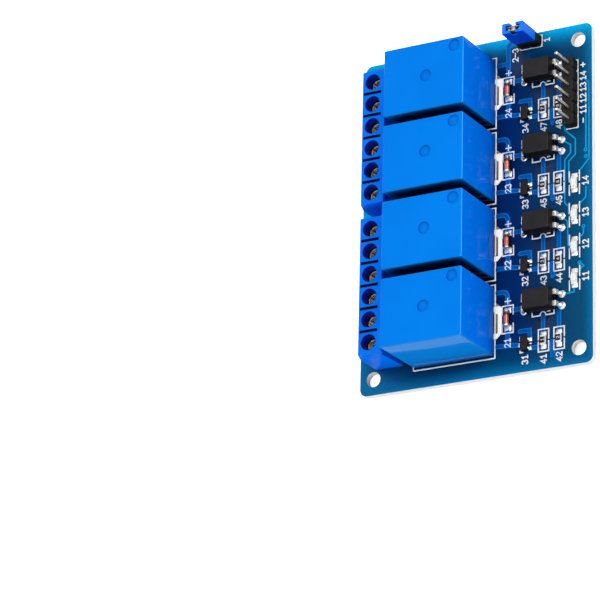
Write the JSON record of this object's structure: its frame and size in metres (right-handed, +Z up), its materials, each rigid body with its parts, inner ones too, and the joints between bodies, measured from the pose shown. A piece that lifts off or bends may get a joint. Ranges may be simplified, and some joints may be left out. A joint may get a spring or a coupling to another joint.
{
  "type": "relay module board",
  "caption": "Blue relay module board: relays in a row between screw terminal blocks and optocouplers, with a pin header and a jumper.",
  "frame": {"origin": "centre of the four mounting holes, on the underside of the bare board", "axes": "+Z up out of the board's component side, +Y along the row of relays towards the jumper end, +X from the screw terminals towards the pin header"},
  "size_m": [0.0544, 0.0758, 0.0187],
  "materials": {
    "board_mask": "blue solder mask over copper, satin gloss",
    "relay_case": "bright blue moulded plastic, glossy",
    "terminal_body": "bright blue moulded plastic, satin",
    "terminal_metal": "plated steel, dull",
    "screw_metal": "zinc plated steel, bright",
    "header_body": "black moulded plastic, satin",
    "jumper_body": "bright blue moulded plastic, glossy",
    "package_black": "black moulded epoxy, satin",
    "resistor_body": "black glazed film on ceramic",
    "led_body": "clear lens on a white base",
    "diode_glass": "orange-red glass, glossy",
    "tinned_metal": "tin plated, bright",
    "solder": "solder, satin",
    "legend_ink": "white printed legend ink"
  },
  "bodies": {
    "root": {"base_resistor_ends": "tinned_metal", "base_resistors": "resistor_body", "diode_1": "diode_glass", "diode_2": "diode_glass", "diode_3": "diode_glass", "diode_4": "diode_glass", "diode_end_caps": "tinned_metal", "header_solder_joints": "solder", "indicator_led_1": "led_body", "indicator_led_2": "led_body", "indicator_led_3": "led_body", "indicator_led_4": "led_body", "indicator_led_ends": "tinned_metal", "input_header_housing": "header_body", "input_header_pins": "tinned_metal", "jumper_cap_clip": "tinned_metal", "jumper_cap_shell": "jumper_body", "jumper_header_housing": "header_body", "jumper_header_pins": "tinned_metal", "led_resistor_ends": "tinned_metal", "led_resistors": "resistor_body", "lower_terminal_cages": "terminal_metal", "lower_terminal_housing": "terminal_body", "lower_terminal_pins": "terminal_metal", "lower_terminal_screws": "screw_metal", "optocoupler_1": "package_black", "optocoupler_1_leads": "tinned_metal", "optocoupler_2": "package_black", "optocoupler_2_leads": "tinned_metal", "optocoupler_3": "package_black", "optocoupler_3_leads": "tinned_metal", "optocoupler_4": "package_black", "optocoupler_4_leads": "tinned_metal", "optocoupler_solder_joints": "solder", "pcb": "board_mask", "relay_1": "relay_case", "relay_1_pins": "tinned_metal", "relay_2": "relay_case", "relay_2_pins": "tinned_metal", "relay_3": "relay_case", "relay_3_pins": "tinned_metal", "relay_4": "relay_case", "relay_4_pins": "tinned_metal", "relay_solder_joints": "solder", "terminal_solder_joints": "solder", "transistor_1": "package_black", "transistor_1_leads": "tinned_metal", "transistor_2": "package_black", "transistor_2_leads": "tinned_metal", "transistor_3": "package_black", "transistor_3_leads": "tinned_metal", "transistor_4": "package_black", "transistor_4_leads": "tinned_metal", "upper_terminal_cages": "terminal_metal", "upper_terminal_housing": "terminal_body", "upper_terminal_pins": "terminal_metal", "upper_terminal_screws": "screw_metal"}
  },
  "joints": []
}
